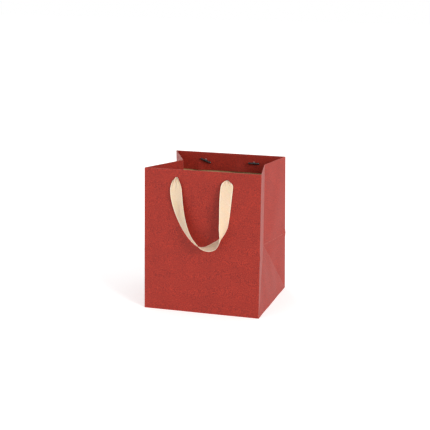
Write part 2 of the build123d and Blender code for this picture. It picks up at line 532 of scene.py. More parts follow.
def twill_weave() -> bpy.types.NodeTree:
    """A herringbone twill tape with a firmer selvedge, laid out on a strip's own map.

    Returns:
        A group with the outputs Thread, Selvedge and Height, from the inputs Vector,
        which runs 0 to 1 across the tape, and Threads, the ribs across it.
    """
    chevron_width, rib_depth, warp_depth, edge_depth = 0.125, 0.35, 0.12, 0.4
    selvedge_from, selvedge_to = 0.43, 0.465

    def fill(shader: Shader, start: bpy.types.Node) -> dict[str, bpy.types.NodeSocket]:
        """Adds the weave's ribs.

        Args:
            shader: The group's own shader helper.
            start: The group's input node.

        Returns:
            The socket for each output.
        """
        apart = shader.node("ShaderNodeSeparateXYZ", Vector=start.outputs["Vector"])
        across, along = apart.outputs[0], apart.outputs[1]
        threads = start.outputs["Threads"]
        slant = shader.plus(shader.math("PINGPONG", across, chevron_width), along)
        rib = shader.math("SINE", shader.times(shader.times(slant, threads), 2 * math.pi))
        warp = shader.math("SINE", shader.times(shader.times(across, threads), 4 * math.pi))
        from_middle = shader.math("ABSOLUTE", shader.math("SUBTRACT", across, 0.5))
        selvedge = shader.ramp(from_middle, selvedge_from, selvedge_to)
        edge_rib = shader.math("SINE", shader.times(shader.times(along, threads), 3 * math.pi))
        ribs = shader.plus(shader.times(rib, rib_depth), 0.5)
        mixed = shader.node("ShaderNodeMix", data_type="FLOAT", Factor=selvedge)
        shader.feed(mixed.inputs[2], shader.plus(ribs, shader.times(warp, warp_depth)))
        shader.feed(mixed.inputs[3], shader.plus(shader.times(edge_rib, edge_depth), 0.6))
        return {"Thread": mixed.outputs[0], "Selvedge": selvedge, "Height": mixed.outputs[0]}

    return effect_group(
        "twill_weave",
        {"Vector": ("NodeSocketVector", 0.0), "Threads": ("NodeSocketFloat", 22.0)},
        ("Thread", "Selvedge", "Height"),
        fill,
    )


@dataclass(frozen=True)
class Finish:
    """What every finish has: a name, and a material that is built once."""

    name: str

    def material(self) -> bpy.types.Material:
        """Builds the finish's material the first time.

        Returns:
            The material.
        """
        if self.name in bpy.data.materials:
            return bpy.data.materials[self.name]
        material = bpy.data.materials.new(self.name)
        material.use_nodes = True
        shader = Shader(material.node_tree)
        shader.tree.nodes.clear()
        surface = shader.node("ShaderNodeBsdfPrincipled")
        shader.node("ShaderNodeOutputMaterial", Surface=surface.outputs[0])
        self.dress(shader, surface)
        return material

    def dress(self, shader: Shader, surface: bpy.types.Node) -> None:
        """Adds the finish's own nodes and constants around the surface shader."""
        raise NotImplementedError

    def settle(self, surface: bpy.types.Node, **constants: object) -> None:
        """Sets the surface's own constants, by socket name with underscores for spaces."""
        for name, value in constants.items():
            surface.inputs[name.replace("_", " ")].default_value = value

    def bump(
        self, shader: Shader, surface: bpy.types.Node, height: bpy.types.NodeSocket, depth: float
    ) -> None:
        """Feeds a height to the surface as bump of a depth in metres."""
        bump = shader.node("ShaderNodeBump", Height=height, Distance=depth, Strength=1.0)
        shader.feed(surface.inputs["Normal"], bump.outputs[0])


@dataclass(frozen=True)
class PaperFinish(Finish):
    """One face of the kraft sheet, or a board: fibre grain, clouds and worn creases."""

    base: Colour
    fibre: Colour
    shade: Colour
    worn: Colour
    wear: float
    grain_scale: float = 1.0
    grain_depth: float = 0.00008
    roughness: float = 0.62
    roughness_spread: float = 0.22
    sheen: float = 0.0
    cloud_share: float = 0.16
    fleck_share: float = 0.45

    def dress(self, shader: Shader, surface: bpy.types.Node) -> None:
        """Adds the paper's grain, clouds of shade and crease wear.

        Args:
            shader: The material's shader helper.
            surface: The surface shader.
        """
        place = shader.node("ShaderNodeTexCoord").outputs["Object"]
        near = shader.node("ShaderNodeAttribute", attribute_name="crease").outputs["Fac"]
        grain = shader.node(
            "ShaderNodeGroup", node_tree=paper_fibre(), Vector=place, Scale=self.grain_scale
        ).outputs
        wear = shader.node(
            "ShaderNodeGroup", node_tree=crease_wear(), Vector=place, Near=near, Amount=self.wear
        ).outputs
        colour = shader.mix(grain["Mottle"], self.shade, self.base)
        colour = shader.mix(shader.times(grain["Cloud"], self.cloud_share), colour, self.shade)
        colour = shader.mix(shader.times(grain["Fleck"], self.fleck_share), colour, self.fibre)
        colour = shader.mix(wear["Wear"], colour, self.worn)
        shader.feed(surface.inputs["Base Color"], colour)
        rough = shader.times(grain["Fibre"], self.roughness_spread)
        rough = shader.plus(rough, self.roughness - self.roughness_spread / 2)
        shader.feed(surface.inputs["Roughness"], rough)
        self.settle(
            surface,
            Sheen_Weight=self.sheen,
            Sheen_Roughness=0.45,
            Sheen_Tint=(1.0, 0.85, 0.8, 1.0),
            Specular_IOR_Level=0.36,
        )
        self.bump(shader, surface, grain["Height"], self.grain_depth)


@dataclass(frozen=True)
class TapeFinish(Finish):
    """Woven twill tape: slanted ribs with painted shade in their hollows, pale selvedges that are partly
    a painted edge highlight, warmer patches that are partly painted bounce light, and a soft nap.
    """

    thread: Colour
    hollow_shade: Colour
    selvedge: Colour
    warm_bounce_tone: Colour
    threads: float = 22.0
    weave_depth: float = 0.00016
    roughness: float = 0.68
    fuzz_roughness: float = 0.2
    fuzz_height: float = 0.25
    selvedge_highlight_share: float = 0.7
    warm_bounce_share: float = 0.35
    warm_bounce_cells: float = 55.0
    fuzz_cells: float = 2400.0

    def dress(self, shader: Shader, surface: bpy.types.Node) -> None:
        """Adds the weave with painted shade in its hollows, the selvedges with a painted edge highlight,
        and a slow change to a warmer tone that partly paints bounce light.

        Args:
            shader: The material's shader helper.
            surface: The surface shader.
        """
        strip = shader.node("ShaderNodeUVMap", uv_map="tape").outputs[0]
        place = shader.node("ShaderNodeTexCoord").outputs["Object"]
        weave = shader.node(
            "ShaderNodeGroup", node_tree=twill_weave(), Vector=strip, Threads=self.threads
        ).outputs
        # Painted shade: the hollows between the ribs are coloured darker than the threads.
        colour = shader.mix(weave["Thread"], self.hollow_shade, self.thread)
        # Paler selvedges, partly a painted highlight that brightens the tape's edges and rims.
        colour = shader.mix(shader.times(weave["Selvedge"], self.selvedge_highlight_share), colour, self.selvedge)
        # Slow random patches of a warmer tone; the warmth is partly painted light bounced off the red
        # paper.
        tone = shader.ramp(shader.noise(place, self.warm_bounce_cells, Detail=3.0), 0.35, 0.75)
        colour = shader.mix(shader.times(tone, self.warm_bounce_share), colour, self.warm_bounce_tone)
        shader.feed(surface.inputs["Base Color"], colour)
        fuzz = shader.noise(place, self.fuzz_cells, Detail=2.0)
        rough = shader.plus(shader.times(fuzz, self.fuzz_roughness), self.roughness)
        shader.feed(surface.inputs["Roughness"], rough)
        self.settle(
            surface,
            Sheen_Weight=0.35,
            Sheen_Roughness=0.4,
            Sheen_Tint=(1.0, 0.93, 0.82, 1.0),
            Specular_IOR_Level=0.3,
            Subsurface_Weight=0.3,
            Subsurface_Radius=(1.0, 0.6, 0.35),
            Subsurface_Scale=0.0012,
        )
        height = shader.plus(weave["Height"], shader.times(fuzz, self.fuzz_height))
        self.bump(shader, surface, height, self.weave_depth)


@dataclass(frozen=True)
class MouldedFinish(Finish):
    """Glossy moulded plastic with faint flow marks."""

    base: Colour
    tint: Colour
    roughness: float = 0.16
    roughness_spread: float = 0.12
    flow_cells: float = 420.0
    flow_depth: float = 0.00004

    def dress(self, shader: Shader, surface: bpy.types.Node) -> None:
        """Adds faint changes of tone and gloss to a glossy surface.

        Args:
            shader: The material's shader helper.
            surface: The surface shader.
        """
        place = shader.node("ShaderNodeTexCoord").outputs["Object"]
        flow = shader.noise(place, self.flow_cells, Detail=3.0)
        shader.feed(surface.inputs["Base Color"], shader.mix(flow, self.base, self.tint))
        rough = shader.plus(shader.times(flow, self.roughness_spread), self.roughness)
        shader.feed(surface.inputs["Roughness"], rough)
        self.settle(surface, Coat_Weight=0.6, Coat_Roughness=0.08)
        self.bump(shader, surface, flow, self.flow_depth)


RED_FACE = PaperFinish(
    "red_kraft_face",
    base=linear(178, 45, 26),
    fibre=linear(200, 84, 58),
    shade=linear(110, 16, 8),
    worn=linear(222, 150, 136),
    wear=0.15,
    sheen=0.14,
)
KRAFT_BACK = PaperFinish(
    "natural_kraft_back",
    base=linear(200, 168, 122),
    fibre=linear(222, 196, 154),
    shade=linear(176, 142, 98),
    worn=linear(220, 198, 160),
    wear=0.25,
    sheen=0.1,
)
GREY_BOARD = PaperFinish(
    "bottom_board_card",
    base=linear(186, 160, 122),
    fibre=linear(212, 190, 154),
    shade=linear(158, 132, 98),
    worn=linear(214, 196, 160),
    wear=0.2,
    grain_scale=0.6,
    grain_depth=0.00014,
    roughness=0.74,
)
CREAM_TAPE = TapeFinish(
    "cream_twill_tape",
    thread=linear(230, 212, 191),
    # Painted shade, the colour of the hollows between the ribs.
    hollow_shade=linear(204, 172, 138),
    # Paler selvedge colour, partly a painted edge highlight.
    selvedge=linear(248, 235, 210),
    # Warmer tone, partly painted bounce light from the red paper.
    warm_bounce_tone=linear(226, 198, 158),
)
BLACK_MOULDING = MouldedFinish(
    "black_moulded_plastic", base=linear(14, 14, 17), tint=linear(26, 26, 31)
)


@dataclass(frozen=True)
class SheetRow:
    """One row of points across the sheet.

    Attributes:
        height: Height at the upright corners.
        rise: 0 at the bottom to 1 at the cross crease, and 1 above it.
        wall_depth: How far the row lies inside the walls' outer faces.
        gusset_depth: The same for the gussets.
        hem: 0 outside the mouth, and 0 to 1 down the turned-in hem.
    """

    height: float
    rise: float
    wall_depth: float = 0.0
    gusset_depth: float = 0.0
    hem: float = 0.0


@dataclass(frozen=True)
class Ripple:
    """Two crossing waves in a panel, by their rates across and up it.

    Attributes:
        across: The first wave's rate across the panel.
        up: The first wave's rate up the panel.
        cross_up: The second wave's rate up the panel.
        cross_across: The second wave's rate across the panel.
        start: Where the second wave starts.
    """

    across: float
    up: float
    cross_up: float
    cross_across: float = 0.0
    start: float = 0.0

    def at(self, share: float, up: float, phase: float) -> float:
        """The ripple's height at a place, from -1 to 1.

        Args:
            share: The place across the panel, from 0 to 1.
            up: The place up the bag, from 0 to 1.
            phase: Where the first wave starts.

        Returns:
            The height.
        """
        first = math.sin(self.across * share + self.up * up + phase)
        return first * math.sin(self.cross_up * up + self.cross_across * share + self.start)


@dataclass
class PaperSheet:
    """The one sheet that is folded into the walls, the gussets and the hem."""

    shape: BagShape
    half_steps: int = 42
    wall_steps: int = 56
    wall_ease: float = 0.7
    upper_rows: int = 34
    upper_ease: float = 0.55
    roll_rows: int = 8
    hem_rows: int = 12
    seam_steps: int = 4
    hem_slack: float = 0.06 * MM
    seam_gap: float = 0.05 * MM
    seam_width: float = 14 * MM
    lap_share: float = 0.06
    wall_bow: float = 1.0 * MM
    wall_swell: float = 0.6
    wall_ripple_share: float = 0.35
    wall_dent_share: float = 0.3
    wall_dent_waves: tuple[float, float] = (3.1, 2.3)
    wall_ripple: Ripple = Ripple(7.3, 2.1, 5.1, cross_across=1.7)
    gusset_bow: float = 2.2 * MM
    rear_belly: float = 0.55
    fore_belly: float = 0.3
    gusset_ripple_share: float = 0.3
    least_calm: float = 0.35
    crease_hold: float = 0.7
    gusset_ripple: Ripple = Ripple(6.1, 4.0, 4.4, start=0.6)
    calm_depth: float = 20 * MM
    crease_stiffness: float = 16 * MM
    crease_bump: float = 0.7 * MM
    bump_width: float = 7 * MM
    bump_height: float = 5 * MM
    left_bump_share: float = 0.15
    hem_dent: float = 2.8 * MM
    dent_start: float = 0.3
    hem_dents: tuple[tuple[float, float], ...] = ((0.21, 0.05), (0.58, 0.09), (0.83, 0.05))
    hem_wave: float = 0.9 * MM
    hem_rates: tuple[float, float] = (9.0, 23.0)
    hem_start: float = 3.0
    hem_fine_share: float = 0.6
    wear_reach: float = 1.3 * MM
    diagonal_share: float = 0.7
    punch_depth: float = 12 * MM
    punch_sides: int = 28
    smooth_angle: float = 50.0
    drop_margin: float = 2 * MM
    rows: list[SheetRow] = field(default_factory=list)
    columns: list[tuple[Stretch, float]] = field(default_factory=list)

    def plan_rows(self) -> None:
        """Lists the rows, from the bottom up, over the mouth and down the hem."""
        shape = self.shape
        for rise in eased(self.half_steps):
            self.rows.append(SheetRow(shape.crease_height * rise, rise))
        wall_turn = 2 * shape.paper + shape.board + self.hem_slack
        gusset_turn = 2 * shape.paper + self.hem_slack
        radius = wall_turn / 2
        span = shape.height - radius - shape.crease_height
        for share in eased(self.upper_rows, self.upper_ease)[1:]:
            self.rows.append(SheetRow(shape.crease_height + span * share, 1.0))
        for step in range(1, self.roll_rows + 1):
            angle = math.pi * step / self.roll_rows
            depth = (1 - math.cos(angle)) / 2
            height = shape.height - radius + radius * math.sin(angle)
            self.rows.append(SheetRow(height, 1.0, wall_turn * depth, gusset_turn * depth))
        for step in range(1, self.hem_rows + 1):
            share = step / self.hem_rows
            height = shape.height - radius - (shape.hem_depth - radius) * share
            self.rows.append(SheetRow(height, 1.0, wall_turn, gusset_turn, share))

    def plan_columns(self) -> None:
        """Lists the columns, from the raw edge at the back left corner round the bag."""
        halves = eased(self.half_steps)
        walls = eased(self.wall_steps, self.wall_ease)
        seam = [step / self.seam_steps for step in range(1, self.seam_steps + 1)]
        plan = (
            (Stretch.BACK_WALL, walls),
            (Stretch.RIGHT_REAR, halves[1:]),
            (Stretch.RIGHT_FORE, halves[1:]),
            (Stretch.FRONT_WALL, walls[1:]),
            (Stretch.LEFT_FORE, halves[1:]),
            (Stretch.LEFT_REAR, halves[1:]),
            (Stretch.SEAM, seam),
        )
        for stretch, shares in plan:
            self.columns.extend((stretch, share) for share in shares)

    def ring(self, side: Side, wall: Wall, row: SheetRow) -> tuple[Vector, Vector]:
        """Where a row meets a corner crease and the centre fold beside it.

        Args:
            side: The gusset's side.
            wall: The wall that the corner belongs to.
            row: The row, whose depths move both points in from the outer faces.

        Returns:
            The corner point and the fold point.
        """
        shape = self.shape
        corner = shape.corner(side, wall, row.height)
        fold = shape.fold(side, row.height)
        along = (fold - corner).normalized()
        # The unit vector across the gusset's half, towards the middle of the bag.
        inward = Vector((-side.value * abs(along.y), -wall.value * abs(along.x), 0))
        start = corner + inward * row.gusset_depth
        wall_y = wall.value * (shape.half_depth(row.height) - row.wall_depth)
        moved_corner = start + along * ((wall_y - start.y) / along.y)
        moved_fold = start + along * (-start.y / along.y)
        return moved_corner, moved_fold

    def gusset_point(self, side: Side, wall: Wall, share: float, row: SheetRow) -> Vector:
        """A point on a gusset's half.

        Args:
            side: The gusset's side.
            wall: The wall that the half hangs on.
            share: 0 at the corner crease to 1 at the centre fold.
            row: The point's row.

        Returns:
            The point, before the paper's own waviness.
        """
        shape = self.shape
        if row.height > shape.crease_height or row.rise == 1.0 and row.hem > 0:
            corner, fold = self.ring(side, wall, row)
            # Above the cross crease the fold's rows start at the foot of the fold.
            if row.hem == 0 and row.wall_depth == 0:
                span = (row.height - shape.crease_height) / (shape.height - shape.crease_height)
                foot = shape.foot_height(side)
                fold = shape.fold(side, foot + (shape.height - foot) * span)
            return corner.lerp(fold, share)
        foot = shape.fold(side, shape.foot_height(side))
        low = shape.corner(side, wall, 0)
        high = shape.corner(side, wall, shape.crease_height)
        if share <= row.rise:
            return low + (high - low) * (row.rise - share) + (foot - low) * share
        far = shape.corner(side, Wall(-wall.value), 0)
        reach = (1 - share) / (1 - row.rise)
        base = (low + far) / 2 + (low - far) / 2 * reach
        return foot * row.rise + base * (1 - row.rise)

    def wall_point(self, wall: Wall, share: float, row: SheetRow) -> Vector:
        """A point on a wall.

        Args:
            wall: The wall.
            share: The place across it, from 0 to 1 in the order of the folds.
            row: The point's row.

        Returns:
            The point, before the paper's own waviness.
        """
        first, last = (Side.RIGHT, Side.LEFT) if wall is Wall.FRONT else (Side.LEFT, Side.RIGHT)
        start, _ = self.ring(first, wall, row)
        end, _ = self.ring(last, wall, row)
        return start.lerp(end, share)

    def seam_lap(self, share: float, row: SheetRow) -> float:
        """How far the gusset's last edge lies inside the back wall's raw edge, which laps it.

        Args:
            share: The place across the gusset's half, from 0 to 1 at the edge.
            row: The point's row.

        Returns:
            The distance, which is nothing in the rolled mouth and the hem.
        """
        if row.hem > 0 or row.wall_depth > 0:
            return 0.0
        return (self.shape.paper + self.seam_gap) * smooth_step(1 - (1 - share) / self.lap_share)

    def seam_point(self, share: float, row: SheetRow) -> Vector:
        """A point on the glue flap, which lies against the back wall's inner face.

        Args:
            share: The place across the flap, from 0 to 1.
            row: The point's row.

        Returns:
            The point.
        """
        corner = self.shape.corner(Side.LEFT, Wall.BACK, row.height)
        inside = self.shape.paper + self.seam_gap
        return corner + Vector((self.seam_width * share, -inside, 0))

    def waviness(self, stretch: Stretch, share: float, row: SheetRow) -> Vector:
        """How far the paper stands from its flat panel.

        Args:
            stretch: The stretch of the sheet.
            share: The place across the stretch, from 0 to 1.
            row: The row.

        Returns:
            The offset, which fades out at the creases, the bottom and the stiff hem.
        """
        shape = self.shape
        up = row.height / shape.height
        calm = smooth_step((shape.height - shape.hem_depth - row.height) / self.calm_depth)
        across = math.sin(math.pi * share)
        if stretch in WALL_OF:
            wall = WALL_OF[stretch].value
            if row.hem > 0:
                # The hem's free edge stands off its board in a few creased dents.
                reach = (1 + self.dent_start) * row.hem - self.dent_start
                ridge = sum(max(0.0, reach - abs(share - at) / half) for at, half in self.hem_dents)
                return Vector((0, -wall * self.hem_dent * ridge, 0))
            swell = self.wall_swell * across * math.sin(math.pi * up)
            ripple = self.wall_ripple_share * self.wall_ripple.at(share, up, wall)
            waves_across, waves_up = self.wall_dent_waves
            dent = math.sin(waves_across * math.pi * share) * math.sin(waves_up * math.pi * up)
            dent *= self.wall_dent_share
            size = self.wall_bow * across * (swell + ripple * across + dent) * calm
            return Vector((0, wall * size, 0))
        side, wall = HALF_OF[stretch]
        belly = self.rear_belly if wall is Wall.BACK else self.fore_belly
        belly *= across * math.sin(math.pi * up)
        ripple = self.gusset_ripple_share * self.gusset_ripple.at(share, up, side.value)
        size = self.gusset_bow * across * (belly + ripple * across) * max(calm, self.least_calm)
        held = fade(row.height - shape.crease_height, self.crease_stiffness)
        size *= 1 - self.crease_hold * held
        return Vector((side.value * size, 0, 0))

    def corner_bump(self, stretch: Stretch, share: float, row: SheetRow) -> Vector:
        """A small kink outwards where the cross crease meets a corner crease.

        Args:
            stretch: The stretch of the sheet.
            share: The place across the stretch, from 0 to 1.
            row: The row.

        Returns:
            The offset.
        """
        shape = self.shape
        if row.hem > 0:
            return Vector()
        if stretch in WALL_OF:
            gap = min(share, 1 - share) * shape.width
            side = 1 if (share < 0.5) == (stretch is Stretch.FRONT_WALL) else -1
        else:
            gap = stretch.along(share) * shape.depth / 2
            side = HALF_OF[stretch][0].value
        lift = fade(row.height - shape.crease_height, self.bump_height)
        size = self.crease_bump * (1.0 if side > 0 else self.left_bump_share)
        return Vector((side * size * lift * fade(gap, self.bump_width), 0, 0))

    def point(self, stretch: Stretch, share: float, row: SheetRow) -> Vector:
        """Where a point of the flat sheet lies once the bag is folded.

        Args:
            stretch: The stretch of the sheet.
            share: The place across the stretch, from 0 to 1.
            row: The row.

        Returns:
            The folded place.
        """
        if row.hem == 1.0:
            slow, fine = self.hem_rates
            wave = math.sin(slow * share + self.hem_start)
            wave += self.hem_fine_share * math.sin(fine * share)
            lift = self.hem_wave * wave / 2 * math.sin(math.pi * share)
            row = SheetRow(row.height + lift, 1.0, row.wall_depth, row.gusset_depth, 1.0)
        if stretch is Stretch.SEAM:
            return self.seam_point(share, row)
        if stretch in WALL_OF:
            place = self.wall_point(WALL_OF[stretch], share, row)
        else:
            place = self.gusset_point(*HALF_OF[stretch], stretch.along(share), row)
        if stretch is Stretch.LEFT_REAR:
            place.y -= self.seam_lap(share, row)
        return place + self.waviness(stretch, share, row) + self.corner_bump(stretch, share, row)

    def nearness(self, stretch: Stretch, share: float, row: SheetRow) -> float:
        """How near a point is to a crease or the mouth, from 0 to 1.

        Args:
            stretch: The stretch of the sheet.
            share: The place across the stretch, from 0 to 1.
            row: The row.

        Returns:
            1 on a crease, falling to 0 within a few times the reach of the wear.
        """
        shape = self.shape
        gaps = [shape.height - row.height]
        if stretch not in HALF_OF:
            gaps.append(min(share, 1 - share) * shape.width)
            if row.hem == 0:
                gaps.append(row.height)
            return fade(min(gaps), self.wear_reach)
        half = shape.depth / 2
        along = stretch.along(share)
        if row.rise < 1:
            gaps += [abs(row.rise - along) * half * self.diagonal_share, row.height]
            if along < row.rise:
                gaps.append(along * half)
        else:
            gaps += [along * half, (1 - along) * half]
        if row.hem == 0 and along <= row.rise:
            gaps.append(abs(row.height - shape.crease_height))
        return fade(min(gaps), self.wear_reach)

    def build(self) -> bpy.types.Object:
        """Folds the flat grid into the bag and gives it its thickness and holes.

        Returns:
            The finished sheet.
        """
        self.plan_rows()
        self.plan_columns()
        sheet = flat_grid("paper_sheet", len(self.columns) - 1, len(self.rows) - 1)
        self.split_diagonals(sheet)
        mesh = sheet.data
        wear = mesh.attributes.new("crease", "FLOAT", "POINT")
        for index, vertex in enumerate(mesh.vertices):
            stretch, share = self.columns[round(vertex.co.x * (len(self.columns) - 1))]
            row = self.rows[round(vertex.co.y * (len(self.rows) - 1))]
            wear.data[index].value = self.nearness(stretch, share, row)
            vertex.co = self.point(stretch, share, row)
        mesh.flip_normals()
        for finish in (RED_FACE, KRAFT_BACK):
            mesh.materials.append(finish.material())
        apply_modifier(
            sheet,
            "SOLIDIFY",
            thickness=self.shape.paper,
            offset=-1.0,
            use_even_offset=True,
            material_offset=1,
            material_offset_rim=1,
        )
        self.punch_holes(sheet)
        shade(sheet, self.smooth_angle)
        return sheet

    def split_diagonals(self, sheet: bpy.types.Object) -> None:
        """Cuts the cells on the gussets' diagonal creases, and drops the hem's seam flap.

        Args:
            sheet: The flat grid, before it is folded.
        """
        last_column, last_row = len(self.columns) - 1, len(self.rows) - 1
        mesh = bmesh.new()
        mesh.from_mesh(sheet.data)
        cells = {}
        for face in mesh.faces:
            middle = face.calc_center_median()
            cells[int(middle.x * last_column), int(middle.y * last_row)] = face
        first = self.wall_steps
        starts = (first, first + 2 * self.half_steps + self.wall_steps)
        for start in starts:
            for step in range(self.half_steps):
                rising = cells[start + step, step]
                falling = cells[start + 2 * self.half_steps - 1 - step, step]
                for face, slope in ((rising, 1), (falling, -1)):
                    ends = sorted(face.verts, key=lambda vert: vert.co.x + slope * vert.co.y)
                    bmesh.utils.face_split(face, ends[0], ends[-1])
        seam_start = (last_column - self.seam_steps) / last_column
        hem_start = next(
            index for index, row in enumerate(self.rows)
            if row.height > self.shape.height - self.shape.hem_depth - self.drop_margin
        ) / last_row
        dropped = [
            face for face in mesh.faces
            if face.calc_center_median().x > seam_start and face.calc_center_median().y > hem_start
        ]
        bmesh.ops.delete(mesh, geom=dropped, context="FACES")
        mesh.to_mesh(sheet.data)
        mesh.free()

    def punch_holes(self, sheet: bpy.types.Object) -> None:
        """Punches the four handle holes through the walls and their hems.

        Args:
            sheet: The folded sheet, with its thickness.
        """
        radius, depth = self.shape.hole_radius, self.punch_depth
        for wall in Wall:
            for side in Side:
                deselect_all()
                bpy.ops.mesh.primitive_cylinder_add(
                    vertices=self.punch_sides, radius=radius, depth=depth
                )
                punch = bpy.context.object
                at_hole = Matrix.Translation(self.shape.hole(wall, side))
                place_in_mesh(punch, self.shape.wall_matrix(wall) @ at_hole)
                apply_modifier(sheet, "BOOLEAN", object=punch, operation="DIFFERENCE", solver="EXACT")
                bpy.data.objects.remove(punch)

    def dress(self, sheet: bpy.types.Object) -> None:
        """Hides the panels that the sheet stands for and lets it ride on the bag.

        Args:
            sheet: The finished sheet.
        """
        panels = [
            name for name in frame["nodes"]
            if "panel" in name or "gusset" in name or "turned_hem" in name
        ]
        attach(sheet, "bag")
        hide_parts(*sorted(panels), "side_seam_flap")


@dataclass(frozen=True)
class Leg:
    """One side of the hanging loop, from its hole down to the lowest point.

    Attributes:
        lean_out: How far the leg's upper pull stands outside its hole.
        reach_down: How far below the hole that pull acts.
        sweep: How far sideways of the lowest point the lower pull acts.
        gather: The length over which the gathered tape opens out.
        crest: How far the gathered tape rises over its hole before it falls.
        roundness: How round the gathered top is, from 1 for a straight-sided point.
    """

    lean_out: float
    reach_down: float
    sweep: float
    gather: float
    crest: float
    roundness: float


@dataclass(frozen=True)
class Twist:
    """How the tape turns over between its legs, by its share of the length.

    Attributes:
        lean: The steady turn that builds up along both legs, in degrees, with 0 face out.
        roll: The further turn where the tape lies as a sling at the bottom, in degrees.
        begins: Where the left leg starts to lean.
        middle: Where both turns are complete.
        ends: Where the right leg lies face out again.
        roll_begins: Where the sling begins.
        roll_ends: Where the sling ends.
    """

    lean: float = 68.0
    roll: float = 54.0
    begins: float = 0.125
    middle: float = 0.57
    ends: float = 1.0
    roll_begins: float = 0.44
    roll_ends: float = 0.72

    def angle(self, share: float) -> float:
        """The turn at a place along the tape.

        Args:
            share: The place, from 0 to 1.

        Returns:
            The turn in radians.
        """
        rising = (share - self.begins) / (self.middle - self.begins)
        falling = (self.ends - share) / (self.ends - self.middle)
        lean = self.lean * math.sin(math.pi / 2 * min(max(min(rising, falling), 0.0), 1.0))
        up = smooth_step((share - self.roll_begins) / (self.middle - self.roll_begins))
        down = smooth_step((share - self.middle) / (self.roll_ends - self.middle))
        return math.radians(lean + self.roll * up * (1 - down))


@dataclass
class RibbonHandle:
    """One loop of woven tape, gathered into its two holes and hung on the wall."""

    shape: BagShape
    wall: Wall
    drop: float = 110.5 * MM
    low_point: float = 8.5 * MM
    left: Leg = Leg(
        lean_out=3.5 * MM,
        reach_down=38 * MM,
        sweep=31 * MM,
        gather=22 * MM,
        crest=0.5 * MM,
        roundness=2.0,
    )
    right: Leg = Leg(
        lean_out=-6 * MM,
        reach_down=58 * MM,
        sweep=42 * MM,
        gather=14 * MM,
        crest=0.3 * MM,
        roundness=3.4,
    )
    plug_depth: float = 1.5 * MM
    plug_steps: int = 6
    furrow: float = 1.6 * MM
    furrow_at: float = 0.25
    furrow_reach: float = 0.07
    furrow_place: float = -0.35
    furrow_width: float = 0.3
    cup: float = 2.6 * MM
    cup_at: float = 0.68
    cup_reach: float = 0.045
    clearance: float = 1.1 * MM
    entry_rise: float = 1.0 * MM
    twist: Twist = Twist()
    tape_width: float = 20 * MM
    gather_width: float = 4.4 * MM
    thickness: float = 0.42 * MM
    standoff: float = 1.8 * MM
    hang_tilt: float = 6.0
    pick: float = 1.1 * MM
    selvedge_tooth: float = 0.09 * MM
    leg_steps: int = 260
    steps_across: int = 18
    pleats: float = 2.5
    pleat_share: float = 0.24
    pleat_limit: float = 1.6 * MM
    pleat_fade: float = 0.7
    pleat_start: float = 0.6
    trough: float = 0.8 * MM
    trough_rate: float = 26.0
    trough_start: float = 0.8
    bend_length: float = 9 * MM
    smooth_angle: float = 60.0
    length: float = 0.0

    @property
    def name(self) -> str:
        """The ribbon's name, after its wall."""
        return f"{self.wall.name.lower()}_ribbon_tape"

    def route(self) -> list[Vector]:
        """Draws the tape's middle line in its wall's frame, from hole to hole.

        Each leg is one cubic curve that leaves its hole downwards and reaches the
        lowest point level. Both ends turn in through their holes.

        Returns:
            The points of the line, in metres.
        """
        holes = sorted((self.shape.hole(self.wall, side) for side in Side), key=lambda p: p.x)
        low = Vector((self.low_point, -self.drop))
        halves = []
        for hole, leg, sign in zip(holes, (self.left, self.right), (-1, 1)):
            top = Vector((hole.x, 0))
            upper = Vector((hole.x + sign * leg.lean_out, -leg.reach_down))
            lower = Vector((low.x + sign * leg.sweep, low.y))
            half = []
            for step in range(self.leg_steps + 1):
                part = step / self.leg_steps
                rest = 1 - part
                flat = top * rest**3 + upper * 3 * rest**2 * part
                flat += lower * 3 * rest * part**2 + low * part**3
                out = self.standoff - math.tan(math.radians(self.hang_tilt)) * flat.y
                # The end bends back into the hole over the gathered tape's own width.
                near = max(0.0, 1 + flat.y / self.gather_width)
                out -= self.standoff * near**2
                lift = self.entry_rise * near + 4 * leg.crest * near * (1 - near)
                half.append(Vector((flat.x, flat.y + lift + hole.y, out)))
            depths = [
                self.plug_depth * step / self.plug_steps for step in range(self.plug_steps, 0, -1)
            ]
            plug = [half[0] - Vector((0, 0, depth)) for depth in depths]
            halves.append(plug + half)
        return halves[0] + halves[1][-2::-1]

    def lying_width(self, travelled: float, length: float) -> float:
        """How wide the tape lies, narrow where it is gathered.

        Args:
            travelled: Distance along the tape.
            length: The tape's whole length.

        Returns:
            The width.
        """
        opened = 1.0
        for leg, gone in ((self.left, travelled), (self.right, length - travelled)):
            closed = 1 - min(max(gone - self.plug_depth, 0.0) / leg.gather, 1.0)
            opened *= 1 - closed**leg.roundness
        return self.gather_width + (self.tape_width - self.gather_width) * opened

    def hang(self) -> tuple[list[list[Vector]], list[float]]:
        """Works out every point of the hung tape in its wall's frame.

        Returns:
            The rows of points in metres, and each row's length along the tape.
        """
        line = self.route()
        lengths = [0.0]
        for before, after in zip(line, line[1:]):
            lengths.append(lengths[-1] + (after - before).length)
        self.length = lengths[-1]
        rows = []
        for step, (middle, travelled) in enumerate(zip(line, lengths)):
            tangent = (line[min(step + 1, len(line) - 1)] - line[max(step - 1, 0)]).normalized()
            outside = Vector((tangent.y, -tangent.x, 0)).normalized()
            turn = self.twist.angle(travelled / self.length)
            across = outside * math.cos(turn) - Vector((0, 0, 1)) * math.sin(turn)
            across = (across - tangent * across.dot(tangent)).normalized()
            middle = middle + Vector((0, 0, self.lift_off(middle, across, travelled)))
            rows.append(self.section(middle, across, tangent, travelled))
        return rows, lengths

    def lift_off(self, middle: Vector, across: Vector, travelled: float) -> float:
        """How far a row has to stand off so that its lower edge clears the wall.

        Args:
            middle: The middle of the row.
            across: Direction across the tape.
            travelled: Distance along the tape.

        Returns:
            The distance, which is nothing in the holes.
        """
        gone = min(travelled, self.length - travelled) - self.plug_depth
        outside = smooth_step(gone / self.gather_width)
        edge = self.lying_width(travelled, self.length) / 2 * abs(across.z)
        return outside * max(0.0, edge + self.clearance - middle.z)

